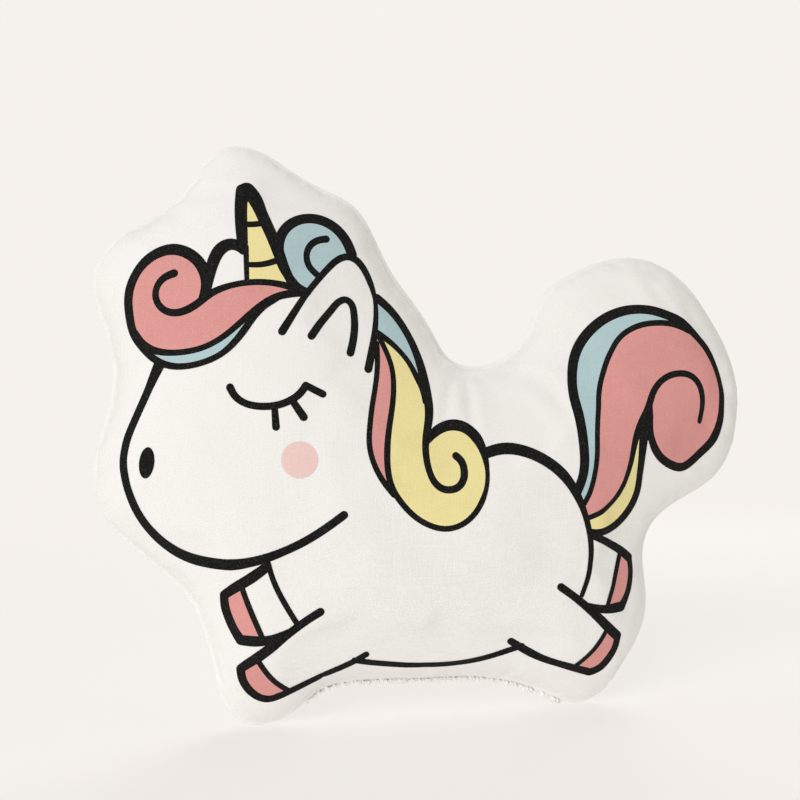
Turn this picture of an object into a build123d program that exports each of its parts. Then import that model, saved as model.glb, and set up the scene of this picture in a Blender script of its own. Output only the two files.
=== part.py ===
from build123d import *

# Shape-cut stuffed cushion of a leaping unicorn: two sewn panels, their threads, the filling and the print.
# Frame: +X to the right seen from the front, +Z up, the printed front faces -Y, the seam lies in Y = 0.
# The origin is under the middle of the outline, level with the hoof lobes that the cushion stands on.
# All lengths are in millimetres.

import os

import numpy as np
from scipy.interpolate import CubicSpline
from scipy.ndimage import gaussian_filter
from scipy.sparse import coo_matrix
from scipy.sparse.linalg import spsolve

# Driving dimensions
CROWN = 41.0  # height of the fullest point of each panel above its edge
EDGE = 2.5  # height of each panel at the seam, where its cloth turns in
SOFTNESS = 12.0  # how gently a panel rises from the seam
BLUR = 1.5  # rounding of the swelling, in grid steps
COTTON = 1.2  # thickness of the printed front cloth with its backing
FLEECE = 2.0  # thickness of the back cloth
ALLOWANCE = 8.0  # seam allowance, turned to the inside
SEAM_GAP = 0.3  # from each allowance to the plane of the seam
THREAD = 0.5  # thickness of the sewing thread
STITCH_LINE = 3.0  # from the outline to the machine stitching
FILL_INSET = 9.0  # from the outline to the filling
FILL_GAP = 0.4  # between the filling and the cloth, and between wads
OPENING = (-52.0, 20.0)  # the stretch of the belly edge that is closed by hand
BELLY_EDGE = 21.0  # height of the belly edge
STITCH_PITCH = 6.0
INK = 0.2  # thickness of the printed layer
GRID = 2.0  # spacing of the grid on which the swelling is worked out
SURFACE_STEP = 8.0  # spacing of the points of the panel surface
PRINT_STEP = 3.0  # spacing of the points along the edges of the print
REACH = 70.0  # deeper than half of the cushion
OUTLINE_SPANS = 17  # the outline is drawn as this many joined curves
SPAN_POINTS = 9  # points on each of them
MARGIN = 12.0  # how far the panel surface runs past the outline

# Outline of the cushion along its seam, clockwise from the top, in the plane of the seam.
OUTLINE = [
    (-110, 347), (-95, 343), (-80, 333), (-60, 321), (-41, 310), (-29, 290), (-18, 267), (-5, 248),
    (6, 229), (16, 214), (29, 210), (47, 214), (60, 225), (68, 240), (74, 252), (84, 261), (100, 269),
    (119, 275), (138, 275), (155, 269), (169, 258), (181, 241), (191, 223), (198, 203), (200, 186),
    (198, 168), (192, 149), (182, 136), (166, 126), (148, 116), (137, 104), (133, 90), (134, 66),
    (131, 46), (122, 29), (109, 12), (100, 4), (86, 0), (67, 7), (47, 15), (22, 20), (-10, 21),
    (-50, 22), (-71, 18), (-88, 6), (-101, 1), (-111, 0), (-121, 4), (-129, 15), (-134, 37),
    (-139, 57), (-146, 75), (-164, 95), (-182, 112), (-195, 127), (-200, 142), (-200, 156),
    (-195, 177), (-189, 198), (-188, 224), (-194, 246), (-197, 262), (-194, 278), (-184, 292),
    (-167, 302), (-147, 315), (-133, 334), (-123, 344),
]

# Ink lines: points that the middle of the line goes through, some with the width of the line there
LINES = {
    "forelock_outer": [(-132, 250, 4), (-129.6, 258), (-130.5, 267, 6.6), (-137, 275.8),
        (-148, 280.2, 6.8), (-160, 276.8), (-169, 267.5, 5.2), (-173.6, 256), (-173.8, 243, 5.4),
        (-171.3, 232), (-166.5, 224.5, 4.6), (-160, 217.8), (-151, 213.3), (-141, 212.6, 3.6),
        (-131, 214.6), (-121.5, 218.8, 3.5), (-115, 224.2), (-109, 231.2, 4.2), (-103.5, 238.5),
        (-97.5, 244.6), (-90, 249.3, 3.4)],
    "forelock_parting": [(-171.5, 233, 5.5), (-167, 227.2), (-159, 222.2), (-150, 220.5, 3.6),
        (-140, 220.9), (-130, 223.3, 3.4), (-120, 228.6), (-110, 236.6, 3.6), (-100.5, 244.4),
        (-91, 249.9, 4.4), (-81, 252.2), (-73, 252.8, 4.8)],
    "forelock_spiral": [(-147.3, 266, 4.9), (-152.8, 263.8), (-157, 259, 3.9), (-158, 253),
        (-155.7, 247.4, 4), (-151, 243.9), (-145.5, 243.2), (-139.5, 244.9, 4.7), (-133.5, 248.4),
        (-128, 252.4, 4.5), (-122, 255.4), (-115, 257.5, 3.6), (-107, 258.8, 3.6), (-99, 259.1),
        (-91, 258.3, 3.8), (-84, 256.7), (-77, 254.3, 4.6)],
    "far_ear": [(-129.3, 256, 6), (-127.3, 264), (-124.4, 273, 7), (-120.4, 279.3, 7.4), (-115, 281.7),
        (-111, 280.6, 6.4), (-108.2, 277.4, 4.2)],
    "horn_left": [(-107.6, 315.6, 7.6), (-108.6, 305), (-108.6, 292, 7), (-108.2, 282, 6.2)],
    "horn_left_foot": [(-106.3, 280, 3.2), (-106.3, 259, 2.8)],
    "horn_right": [(-105.4, 315.4, 9.6), (-102, 311.5), (-97.3, 301, 7), (-92.3, 288.5, 6.8),
        (-88, 276.5, 6.8), (-84.6, 266.5, 5.8), (-80.5, 257.5, 5)],
    "horn_band_high": [(-107, 293.6, 3.6), (-101, 293.6), (-95, 294.6, 3.7)],
    "horn_band_low": [(-105.4, 269.4, 3.2), (-100, 269.3), (-94, 270.2), (-87, 272.6, 4)],
    "blue_curl": [(-45, 277, 6.2), (-47.9, 285), (-53.2, 292.2, 6.3), (-60.6, 296.9), (-69, 298.3, 6.2),
        (-77.7, 296), (-84, 290.6, 6), (-87.3, 283.5), (-87.6, 275.5, 6), (-85.4, 267.3, 5.5),
        (-81.3, 260.2), (-77, 255.4), (-72.5, 253, 4.6)],
    "blue_curl_inner": [(-60, 285.8, 4.6), (-65.2, 284.6), (-69.8, 281, 4), (-71.9, 275, 3.7),
        (-70.6, 268.8), (-66, 263.4, 4)],
    "near_ear": [(-87.4, 230.4, 4.7), (-80, 241.6, 4.1), (-73, 251.8, 3.6), (-66, 260.6, 3.7),
        (-59, 268.5), (-52.8, 273.7, 4.2), (-47.4, 275.3), (-42.4, 273.4, 4.5), (-38.5, 268.6),
        (-34.8, 259.8, 3.8), (-32.6, 250, 2.6), (-32.6, 240), (-33.9, 230, 3.6), (-36.2, 219, 4.6),
        (-39, 208, 4.7)],
    "ear_fold": [(-71, 227.5, 4.6), (-65, 235.7), (-58.5, 243.3, 4.2), (-53.4, 248.2), (-50.3, 249, 4),
        (-47.2, 246.8), (-45.8, 241.5), (-45.7, 234, 4.3), (-46.9, 225.5), (-49, 217.6, 4.6)],
    "mane_outer": [(-31.3, 250.4, 5.4), (-24.7, 244.6), (-18.7, 237, 4.7), (-13.6, 228, 4.6),
        (-9.7, 218, 4.8), (-7.2, 208), (-5.8, 198, 5.8), (-4.8, 189), (-4.8, 181, 5), (-6.5, 172), (-8, 164, 4.2),
        (-8.2, 156), (-6.8, 148, 3.8), (-3.6, 141.4), (1, 138, 4.2), (5.4, 137.5), (10, 139.3),
        (13, 143.5, 4.4), (13.6, 148.6), (12.4, 153.2), (9.4, 156.5, 4.5)],
    "mane_blue_parting": [(-33, 229.6, 4), (-27, 225.3), (-20, 218.7, 3.2), (-14.5, 211.3, 3.2),
        (-10.6, 203, 3.6), (-7.8, 195), (-6.9, 188, 2.4)],
    "mane_curl_outer": [(-32.2, 228.5, 3.2), (-28.6, 220), (-25.2, 209, 3.1), (-24.7, 198),
        (-26.2, 186, 3.4), (-28.8, 174), (-30.5, 162, 3.8), (-30.7, 150), (-28.4, 139.6, 3.6),
        (-23.2, 131), (-16.3, 123.4, 3.4), (-8, 118), (0.5, 115.6), (9.3, 117, 3.3), (16.9, 122.1),
        (22.6, 129.8, 3.4), (26, 138.5, 2.6), (27.1, 148, 2.6), (26, 157.6, 4.4), (22.6, 166, 6.2),
        (17, 171.8), (10, 174.2, 6.6), (3, 173.2), (-2.5, 170, 5.6), (-6.4, 165.5, 3.2)],
    "mane_pink_outer": [(-33.2, 223, 3.2), (-33.4, 212), (-34.9, 200.5, 3.1), (-37.8, 187.2),
        (-40, 174.8, 3.2), (-40.6, 164.6), (-39.2, 156.4, 3.2), (-36.2, 148.6), (-31.6, 141),
        (-27.6, 136, 3.4)],
    "head": [(-156.8, 214, 6.6), (-163.4, 201, 4.8), (-168.7, 190), (-173.5, 180, 4.6), (-177.5, 170),
        (-179.2, 160, 4.6), (-178.4, 150), (-175.8, 140, 4.7), (-171.4, 129.6, 4.9), (-165.2, 120),
        (-158, 112.5, 5.6), (-149.5, 106.6), (-140, 102.7, 6.3), (-130, 100.7), (-120, 100.2, 6.5),
        (-110, 101.3, 5.6), (-100, 103.6), (-90, 107, 4.7), (-80, 111.4), (-68, 118.3, 4.7),
        (-56.4, 126.2, 4.7)],
    "eyelid": [(-117.3, 199.7, 4.4), (-115.4, 195.7), (-111, 191.5, 4), (-105, 189.1), (-98, 188.3, 4.1),
        (-91, 188.9), (-84, 191.3, 4.2), (-78.6, 195), (-75.2, 199.3, 4.4)],
    "lash_high": [(-75.2, 199.4, 4), (-65.8, 194.2, 4.2)],
    "lash_middle": [(-83, 191, 4), (-77, 181.6, 4.6)],
    "lash_low": [(-93, 188.5, 3.6), (-92.5, 176.6, 4.3)],
    "back": [(28, 157.6, 6.4), (34, 159.1), (41, 159.5, 6.8), (52, 156.9), (63, 151.2, 6.5),
        (72.6, 142.8, 6.2), (79.5, 132.5, 5.2), (84.2, 121, 3.8), (87.3, 109.5), (88.5, 99, 3.4),
        (88.1, 90, 3.2), (86.3, 80.5), (83, 71.5, 3)],
    "tail_outer": [(80.5, 133, 5.6), (84.3, 141.5), (85.9, 150, 5.8), (86.1, 160), (85.5, 170),
        (84.2, 180, 5.6), (83.1, 190), (83.9, 202, 5.8), (87.3, 214), (93.8, 224.4, 5.9), (102.5, 232.4),
        (113, 238, 6), (124, 240.6), (135, 240.2, 5.8), (146, 237), (156, 231.8, 6.2), (165, 223.4, 5),
        (172, 214.4), (177, 204.5, 3.8), (180.2, 193.5), (180.9, 182, 4.4), (179.2, 170.5),
        (174.8, 160.4, 5.8), (167, 153), (159.4, 147), (152.6, 143.8, 5.4), (145.5, 145.2), (137.7, 149.8),
        (131.8, 156.8, 4.8), (128.8, 166), (129, 175, 4.4), (129.8, 182.5, 2.6)],
    "tail_spiral": [(164, 171.6, 3.8), (165.8, 180), (165.3, 188.6, 3.8), (162.3, 195.6), (157, 199.6, 4),
        (150, 200.6), (143, 199.2), (136.5, 195.2, 4), (131.8, 189), (128.3, 181, 4.6), (123.6, 172.5, 5),
        (119.4, 163), (117, 153.5, 3.6), (114.9, 145), (111.3, 136.4, 3.2), (106, 128.8),
        (99.6, 122.9, 3.2), (93, 119.3), (86.4, 117.2, 3.2)],
    "tail_parting": [(160, 226.4, 3.4), (149, 231, 3.8), (138, 231.9), (129.5, 230.9, 3.6), (121.5, 228),
        (114.5, 223.2), (108.8, 216, 3.2), (104, 207), (100.3, 197, 3.2), (97.7, 186.5),
        (95.8, 175.5, 3.2), (94.7, 164.5), (94, 154), (92.6, 145.5, 3.2), (90.3, 137), (87, 129.8),
        (83, 124, 3.2)],
    "tail_yellow_outer": [(125.2, 168, 6.2), (123.9, 158, 5.6), (123.3, 149), (122.5, 140, 4.6),
        (121.3, 131.5), (118.4, 124.3, 4.8), (113.6, 117.8, 4.8), (107.4, 112.6), (100, 109.3, 4.6),
        (93, 108.2), (87.5, 109, 4)],
    "tail_wedge": [(127.4, 176, 5.6), (124.4, 163.5, 5.8)],
    "far_hind_top": [(88, 107.2, 4), (95, 104.2, 4.4), (103, 99.9), (110, 95.7, 5), (116.3, 90.6, 5.4)],
    "far_hind_toe": [(116.6, 90.4, 4), (117.8, 83.5, 3.8), (117.1, 75), (114.7, 67.6, 4.4),
        (110.8, 61.6, 5.6)],
    "far_hind_sole": [(110.4, 61.5, 6.2), (104, 61.4, 5.8), (98, 61.7), (92, 63, 4.6), (86, 65.4, 3)],
    "far_hind_hoof": [(109.6, 94, 3.2), (107, 84), (103.5, 73), (99.6, 62.5, 3.2)],
    "near_hind_top": [(69.6, 77.5, 4.7), (77.5, 71.5, 4.6), (86, 64.3, 5), (94, 56.8), (101, 49.8, 6),
        (107.3, 43.9, 6)],
    "near_hind_toe": [(107.6, 43.6, 5), (106, 36, 4.8), (102.3, 29, 5.2), (97.2, 24), (91.5, 22, 5)],
    "near_hind_sole": [(40.6, 46, 4.4), (46, 42.2), (52, 38.3, 5), (60.5, 33.6, 4.4), (70.5, 29.6, 4.2),
        (80.5, 25.9, 4.8), (91, 22, 5)],
    "near_hind_hoof": [(100.5, 50, 3), (95.4, 42), (89.3, 34.4), (81.5, 27.3, 3)],
    "belly": [(-51.5, 39.6, 3.8), (-45, 38), (-35, 36.2, 3.7), (-20, 34.1), (-5, 33.2, 3.4),
        (8, 33.3, 3.4), (20, 34.8), (31, 37.4, 3.6), (40, 40.2), (47.5, 42.4, 3.8)],
    "far_fore_top": [(-100, 98.6, 5.6), (-108, 93, 6.2), (-116, 88, 6.2), (-124.2, 82.4, 5.4)],
    "far_fore_toe": [(-124.9, 82, 5), (-124.6, 75, 5.2), (-122.7, 68), (-119.8, 61, 5.4),
        (-116.7, 55.6, 6)],
    "far_fore_sole": [(-116.4, 55.3, 6.4), (-108, 55, 6.4), (-100.5, 55.6), (-94, 57.8, 4.6), (-88, 61, 3)],
    "far_fore_hoof": [(-114.8, 88, 3.3), (-111.4, 77), (-107.8, 67), (-104, 57, 3.3)],
    "far_fore_back": [(-99.6, 102, 3), (-97, 91.5), (-93, 81.6, 3.3), (-88.2, 72.2), (-83.6, 64, 3.3)],
    "near_fore_top": [(-71, 71.5, 4.8), (-77.5, 67.6, 4.6), (-84, 63), (-91, 57.6, 4.8), (-98.5, 51.6, 6),
        (-106, 46, 6.2), (-112, 41.7), (-117, 37.8, 5.2)],
    "near_fore_toe": [(-117.2, 37.4, 5.2), (-116.4, 31), (-113.6, 25.2, 5.2), (-108.8, 20.4, 4.8),
        (-102.4, 18.1), (-97, 19.1, 4.2), (-90, 22, 4.2)],
    "near_fore_sole": [(-97, 19.3, 4.2), (-90, 22), (-76.5, 28, 3.8), (-64, 33.4, 3.8), (-52, 38.8),
        (-44.8, 43, 3.8)],
    "near_fore_hoof": [(-107, 43.3, 3.3), (-102, 34.8), (-97, 28.6), (-90.5, 23, 3.3)],
}

# Nostril: centre, half width and half height, lean to the right in degrees. Cheek: centre and radius.
NOSTRIL = ((-165.4, 159), (4.4, 8.9), 9)
CHEEK = ((-80, 157.8), 10.2)

# Colour areas: loops along the ink lines, each step a line and the first and last of its points.
AREAS = {
    "pink": [
        [("forelock_outer", 0, 9), ("forelock_parting", 0, 11), ("forelock_spiral", 16, 9)],
        [("mane_pink_outer", 0, 9), ("mane_curl_outer", 8, 0)],
        [("tail_parting", 16, 0), ("tail_outer", 15, 30), ("tail_spiral", 10, 18)],
        [("far_fore_hoof", 0, 3), ("far_fore_sole", 1, 0), ("far_fore_toe", 4, 0), ("far_fore_top", 3, 2)],
        [("near_fore_hoof", 0, 3), ("near_fore_toe", 6, 0), ("near_fore_top", 7, 5)],
        [("far_hind_hoof", 0, 3), ("far_hind_sole", 2, 0), ("far_hind_toe", 4, 0), ("far_hind_top", 4, 3)],
        [("near_hind_hoof", 0, 3), ("near_hind_sole", 5, 6), ("near_hind_toe", 4, 0),
         ("near_hind_top", 5, 4)],
    ],
    "blue": [
        [("forelock_parting", 1, 8), ("forelock_outer", 18, 10)],
        [("blue_curl", 0, 12), ("near_ear", 2, 6)],
        [("mane_outer", 0, 5), ("mane_blue_parting", 4, 0), ("near_ear", 12, 10)],
        [("tail_outer", 0, 14), ("tail_parting", 0, 16)],
    ],
    "yellow": [
        [("horn_left", 3, 0), ("horn_right", 0, 6), ("forelock_spiral", 15, 12), ("horn_left_foot", 1, 0)],
        [("mane_curl_outer", 0, 23), ("mane_outer", 9, 8), ("mane_blue_parting", 6, 0)],
        [("tail_spiral", 11, 18), ("tail_yellow_outer", 10, 0)],
    ],
}

# Where the filling is parted, as corners around each wad of fibre
WADS = {
    "crown": [(-215, 262.2), (-2, 262.2), (-2, 360), (-215, 360)],
    "head": [(-215, 92.2), (-42, 92.2), (-10, 130), (-10, 261.8), (-215, 261.8)],
    "fore_hooves": [(-215, -10), (-46, -10), (-46, 91.8), (-215, 91.8)],
    "body": [(-45.6, -10), (56, -10), (56, 30), (90, 96), (90, 150), (62, 190), (62, 250), (-9.6, 250),
             (-9.6, 129.8), (-45.6, 86)],
    "hind_hooves": [(56.4, -10), (160, -10), (160, 95.8), (90.4, 95.8), (56.4, 29.8)],
    "tail": [(90.4, 96.2), (215, 96.2), (215, 300), (62.4, 300), (62.4, 190.1), (90.4, 150.1)],
}


def smooth(points, step, closed=False):
    """Points every step or so along a smooth curve through the given ones, and the curve with its knots."""
    route = np.array([point[:2] for point in points], float)
    if closed:
        route = np.vstack([route, route[:1]])
    knots = np.concatenate([[0], np.cumsum(np.linalg.norm(np.diff(route, axis=0), axis=1))])
    curve = CubicSpline(knots, route, bc_type="periodic" if closed else "natural")
    places = np.linspace(0, knots[-1], max(2, int(knots[-1] / step) + 2))
    return curve(places), curve, knots


def widths(points, knots, places):
    """Width of an ink line at the given places, from the points that state one."""
    stated = [index for index, point in enumerate(points) if len(point) == 3]
    return np.interp(places, knots[stated], [points[index][2] for index in stated])


def ink_line(points):
    """Edge of one ink line: both sides and the two round ends."""
    middle, curve, knots = smooth(points, PRINT_STEP)
    half = widths(points, knots, np.linspace(0, knots[-1], len(middle))) / 2
    along = np.gradient(middle, axis=0)
    along /= np.linalg.norm(along, axis=1)[:, None]
    across = np.stack([-along[:, 1], along[:, 0]], axis=1)

    def round_end(index, sign):
        turns = np.linspace(0, np.pi, 6)[1:-1, None]
        spread = np.cos(turns) * across[index] + np.sin(turns) * along[index]
        return middle[index] + sign * half[index] * spread

    left = middle + across * half[:, None]
    right = middle - across * half[:, None]
    return np.vstack([left, round_end(-1, 1), right[::-1], round_end(0, -1)])


def colour_loop(steps):
    """Closed loop along the middles of the ink lines that bound a colour."""
    parts = []
    for name, first, last in steps:
        _, curve, knots = smooth(LINES[name], PRINT_STEP)
        count = max(2, int(abs(knots[last] - knots[first]) / PRINT_STEP) + 1)
        parts.append(curve(np.linspace(knots[first], knots[last], count)))
    return np.vstack(parts)


def ellipse(centre, radii, tilt=0.0):
    """Points of an ellipse whose long way leans to the right by tilt degrees."""
    turns = np.linspace(0, 2 * np.pi, 32, endpoint=False)
    lean = np.radians(tilt)
    right = radii[0] * np.cos(turns)
    up = radii[1] * np.sin(turns)
    across = centre[0] + right * np.cos(lean) + up * np.sin(lean)
    return np.stack([across, centre[1] - right * np.sin(lean) + up * np.cos(lean)], axis=1)


def flat_face(edge):
    """Polygonal face in the plane of the seam."""
    corners = [(float(x), 0, float(z)) for x, z in edge]
    return Face(Wire.make_polygon(corners, close=True))


def outline_face(distance=0.0):
    """The outline as a face, drawn in by a distance."""
    _, curve, knots = smooth(OUTLINE, GRID, closed=True)
    ends = np.linspace(0, knots[-1], OUTLINE_SPANS + 1)
    edges = []
    for start, end in zip(ends, ends[1:]):
        places = np.linspace(start, end, SPAN_POINTS)
        along = curve(places, 1)
        along /= np.linalg.norm(along, axis=1)[:, None]
        route = curve(places) + distance * np.stack([along[:, 1], -along[:, 0]], axis=1)
        tangents = [(along[end_index, 0], 0, along[end_index, 1]) for end_index in (0, -1)]
        edges.append(Spline(*[(x, 0, z) for x, z in route], tangents=tangents))
    return Face(Wire(edges))


def slab(face, near, far):
    """Face in the plane of the seam, extruded from Y = near to Y = far."""
    return extrude(Pos(0, near, 0) * face, amount=far - near, dir=(0, 1, 0))


def inside(edge, across, up):
    """Which grid points lie inside a closed edge."""
    result = np.zeros(across.shape, bool)
    for (x0, z0), (x1, z1) in zip(edge, np.roll(edge, -1, axis=0)):
        if z0 == z1:
            continue
        crosses = (z0 > up) != (z1 > up)
        result ^= crosses & (across < (x1 - x0) * (up - z0) / (z1 - z0) + x0)
    return result


def swelling():
    """Grid axes and panel heights: a membrane fixed at the outline and pushed out evenly."""
    edge, _, _ = smooth(OUTLINE, GRID, closed=True)
    low = edge.min(axis=0) - MARGIN
    high = edge.max(axis=0) + MARGIN
    right = np.arange(low[0], high[0] + GRID, GRID)
    upward = np.arange(low[1], high[1] + GRID, GRID)
    across, up = np.meshgrid(right, upward)
    free = inside(edge, across, up)
    number = np.full(free.shape, -1)
    number[free] = np.arange(free.sum())
    rows, columns = np.nonzero(free)
    own = number[rows, columns]
    entries = [(own, own, np.full(len(own), 4.0))]
    for down, aside in ((0, 1), (0, -1), (1, 0), (-1, 0)):
        other = number[rows + down, columns + aside]
        held = other >= 0
        entries.append((own[held], other[held], np.full(held.sum(), -1.0)))
    own, other, value = (np.concatenate(column) for column in zip(*entries))
    stiffness = coo_matrix((value, (own, other))).tocsc()
    lift = np.zeros(free.shape)
    lift[free] = spsolve(stiffness, np.full(free.sum(), GRID * GRID))
    height = np.sqrt(lift + SOFTNESS**2) - SOFTNESS
    height = gaussian_filter(height, BLUR)
    return right, upward, EDGE + CROWN * height / height.max()


def panel_surface():
    """Outer surface of the front panel, running past the outline on all sides."""
    right, upward, height = swelling()
    stride = round(SURFACE_STEP / GRID)
    net = [
        [Vector(x, -height[row, column], upward[row]) for row in range(0, len(upward), stride)]
        for column, x in list(enumerate(right))[::stride]
    ]
    return Face.make_surface_from_array_of_points(net, tol=0.5, min_deg=3, max_deg=3)


def deep(surface, start):
    """Everything behind the front surface, from start behind it."""
    return extrude(Pos(0, start, 0) * surface, amount=2 * REACH, dir=(0, 1, 0))


def panel(surface, cloth):
    """Domed front panel with its edge wall and its turned-in seam allowance."""
    whole = deep(surface, 0) & slab(outline_face(), -REACH, -SEAM_GAP)
    hollow = deep(surface, cloth) & slab(outline_face(cloth), -REACH, -SEAM_GAP - cloth)
    mouth = slab(outline_face(ALLOWANCE), -SEAM_GAP - 2 * cloth, 0)
    return whole - hollow - mouth


def machine_seam():
    """Thread of the machine seam, open along the stretch that is closed by hand."""
    loop = slab(outline_face(STITCH_LINE), -THREAD / 2, THREAD / 2)
    loop -= slab(outline_face(STITCH_LINE + THREAD), -THREAD, THREAD)
    middle = (OPENING[0] + OPENING[1]) / 2
    return loop - Pos(middle, 0, BELLY_EDGE) * Box(OPENING[1] - OPENING[0], THREAD * 2, 4 * STITCH_LINE)


def closing_stitches():
    """Rungs of the ladder stitch that closes the belly edge, from one turned-in edge to the other."""
    edge, _, _ = smooth(OUTLINE, GRID, closed=True)
    belly = edge[(edge[:, 1] < 2 * BELLY_EDGE) & (edge[:, 0] > 2 * OPENING[0]) & (edge[:, 0] < 3 * OPENING[1])]
    belly = belly[np.argsort(belly[:, 0])]
    rungs = []
    for x in np.arange(OPENING[0] + STITCH_PITCH / 2, OPENING[1], STITCH_PITCH):
        z = np.interp(x, belly[:, 0], belly[:, 1]) + STITCH_LINE
        rungs.append(Pos(x, 0, z) * Rot(90, 0, 0) * Cylinder(THREAD, 2 * SEAM_GAP))
    return rungs


def filling(surface):
    """Wads of fibre filling, side by side inside the panels."""
    front = deep(surface, COTTON + FILL_GAP)
    back = mirror(deep(surface, FLEECE + FILL_GAP), about=Plane.XZ)
    core = slab(outline_face(FILL_INSET), -REACH, REACH) & front & back
    return {name: core & slab(flat_face(corners), -REACH, REACH) for name, corners in WADS.items()}


def print_areas():
    """Flat faces of the print, one list of faces for each colour of ink."""
    black = [flat_face(ink_line(points)) for points in LINES.values()]
    black.append(flat_face(ellipse(*NOSTRIL)))
    ink = {"black": black[0].fuse(*black[1:])}
    for colour, loops in AREAS.items():
        ink[colour] = [flat_face(colour_loop(loop)) - ink["black"] for loop in loops]
    ink["blush"] = [flat_face(ellipse(CHEEK[0], (CHEEK[1], CHEEK[1])))]
    return ink


def ink_film(surface, areas):
    """Printed layer of one colour, lying on the front panel."""
    layer = extrude(surface, amount=INK, dir=(0, -1, 0))
    films = []
    for area in areas:
        for face in area.faces():
            films += (slab(face, -REACH, 0) & layer).solids()
    return films


def keep(name, solids):
    """Write one node."""
    node = solids[0] if len(solids) == 1 else Compound(solids)
    node.label = name
    export_step(node, f"parts/{name}.step")


os.makedirs("parts", exist_ok=True)
front_surface = panel_surface()
keep("front_panel", panel(front_surface, COTTON).solids())
keep("back_panel", mirror(panel(front_surface, FLEECE), about=Plane.XZ).solids())
keep("seam_thread", machine_seam().solids())
keep("closing_stitches", closing_stitches())
for wad, shape in filling(front_surface).items():
    keep(f"filling_{wad}", shape.solids())
for colour, areas in print_areas().items():
    keep(f"print_{colour}", ink_film(front_surface, areas))
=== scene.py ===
import math

import bpy
import numpy as np
from mathutils import Matrix, Vector
from mathutils.bvhtree import BVHTree
from mathutils.geometry import delaunay_2d_cdt


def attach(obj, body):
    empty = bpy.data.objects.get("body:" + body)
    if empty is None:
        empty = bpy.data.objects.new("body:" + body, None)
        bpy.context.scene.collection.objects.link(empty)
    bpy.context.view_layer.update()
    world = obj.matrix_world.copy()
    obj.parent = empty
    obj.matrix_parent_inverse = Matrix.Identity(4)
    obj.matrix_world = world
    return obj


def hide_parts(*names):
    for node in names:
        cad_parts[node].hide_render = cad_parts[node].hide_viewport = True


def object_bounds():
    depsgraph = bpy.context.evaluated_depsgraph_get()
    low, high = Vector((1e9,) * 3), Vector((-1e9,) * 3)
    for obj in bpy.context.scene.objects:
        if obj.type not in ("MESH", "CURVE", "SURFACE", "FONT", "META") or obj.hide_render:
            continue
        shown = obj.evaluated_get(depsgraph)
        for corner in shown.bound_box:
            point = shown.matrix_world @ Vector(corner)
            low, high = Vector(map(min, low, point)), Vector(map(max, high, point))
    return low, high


MM = 0.001
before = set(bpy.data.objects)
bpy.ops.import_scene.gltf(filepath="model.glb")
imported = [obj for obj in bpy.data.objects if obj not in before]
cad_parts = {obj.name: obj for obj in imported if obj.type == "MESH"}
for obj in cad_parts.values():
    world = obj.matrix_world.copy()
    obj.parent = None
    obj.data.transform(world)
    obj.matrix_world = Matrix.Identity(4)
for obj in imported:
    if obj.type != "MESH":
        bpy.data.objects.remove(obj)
cad_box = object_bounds()
link = bpy.context.scene.collection.objects.link

# ---------------- shape of the cushion, in millimetres
LIP = (0.0, 1.3, 2.6, 3.9)  # rings of the flattened edge, inward from the seam
LIP_HALF = (0.0, 1.0, 1.3, 1.7)  # half thickness of the edge at those rings
CROWN = 40.0  # fullest height of each panel above its edge
SOFTNESS = 7.0  # how gently the panels rise from the edge
SEAM_STEP = 3.4  # spacing of the points along the seam
CLOTH_STEP = 4.2  # spacing of the points of the cloth
GRID = 4.0  # spacing of the grid on which the swell is worked out
SPARE_CLOTH = 0.035  # how much larger the cut is than the swollen shape
SIM_FRAMES = 26
PRESSURE = 3.0
MOST_MOVE = 5.0  # no point moves further than this while the cloth settles
PRINT_STEP = 1.2  # spacing of the points along the edges of the print
PRINT_FILL = 2.2  # spacing of the points inside the print
INK_LIFT = 0.2  # the print lies this far above the cloth
EDGE_REACH = (0.0, 1.3, 2.6, 3.9, 6.0, 9.0, 14.0, 20.0)  # distance from the seam
EDGE_MOST = (0.0, 1.0, 1.3, 1.9, 5.0, 11.5, 26.0, 80.0)  # the most that a panel rises there
EASING = 12  # rounds of smoothing where the cloth lies on the filling
DENT = 0.8  # height of the soft lumps of the filling
LUMP = 58.0  # their size
SMALL_LUMP = 23.0
SMALL_SHARE = 0.35  # height of the small lumps, as a share
LUMP_START = 6.0  # they start this far inside the seam
LUMP_FADE = 22.0  # and are full this much further in
FOLD_FADE = 8.0  # the folds fade out this near to the seam
PUCKER = 0.9  # height of the ripples along the seam
PUCKER_PLACE = 9.0  # they are highest this far inside the seam
PUCKER_REACH = 6.0
PUCKER_WAVES = 14  # waves that add up to the ripples
LUMP_WAVES = 28  # and to the lumps
SEAM_LENGTH = 1300.0  # about
# Sewn-in folds of the front panel: route, depth and half width
FOLDS = (
    ([(19.1, 209), (20.4, 192), (20.8, 164)], 1.2, 2.8),
    ([(15, 208), (8, 192), (3.2, 172)], 0.9, 2.8),
    ([(36, 207), (51.7, 204), (63.6, 199), (72.4, 190), (78.1, 181), (82, 171), (84, 158)], 1.1, 4.5),
)
SWELL_ROUNDS = 9000  # enough for the membrane to settle on its grid
PILE_SEED = 7
TUFTS = 22000
TUFT_LENGTH = (1.7, 2.9)
TUFT_GIRTH = (0.7, 1.15)
TUFT_CURL = 0.35
BELLY_LONGER = 1.6  # how much longer the tufts are along the belly edge
BELLY_THICKER = 1.3
EDGE_SHORTER = 0.75  # and how much shorter along the rest of the edge
PILE_START = 1.4  # away from the belly the pile starts this far behind the seam
PILE_EDGE = 12.0  # up to here behind the seam, the tufts turn away from it
BELLY_TOP = 40.0
BELLY = (-80.0, 78.0)  # stretch of the belly edge
BELLY_DENSITY = 4.0  # how much closer the tufts stand along it
OPENING = (-52.0, 20.0)  # the part of it that is closed by hand
STITCH_PITCH = 6.0
STITCH_RADIUS = 0.28
FILL_REACH = 6.0  # the filling starts a little further inside the seam than this
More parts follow.
